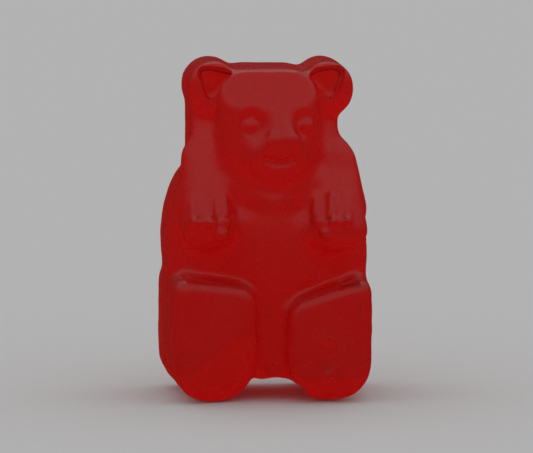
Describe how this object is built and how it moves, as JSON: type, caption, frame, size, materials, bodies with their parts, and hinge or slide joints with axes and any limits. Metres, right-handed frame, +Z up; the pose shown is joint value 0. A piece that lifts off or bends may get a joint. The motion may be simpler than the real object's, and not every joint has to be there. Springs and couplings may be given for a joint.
{
  "type": "gummy bear",
  "caption": "Upright bear-shaped red jelly sweet with dished ears, a face, paws resting on its belly and big upright soles, cast with a flat back.",
  "frame": {"origin": "on the standing plane, in the middle of the bear's width and depth", "axes": "+Z up along the bear's height, -Y the way its face looks, +X to the right of someone facing it"},
  "size_m": [0.0138, 0.0102, 0.022],
  "materials": {
    "jelly": "translucent deep red gelatine jelly with a soft, slightly oiled gloss"
  },
  "bodies": {
    "root": {"bear": "jelly"}
  },
  "joints": []
}
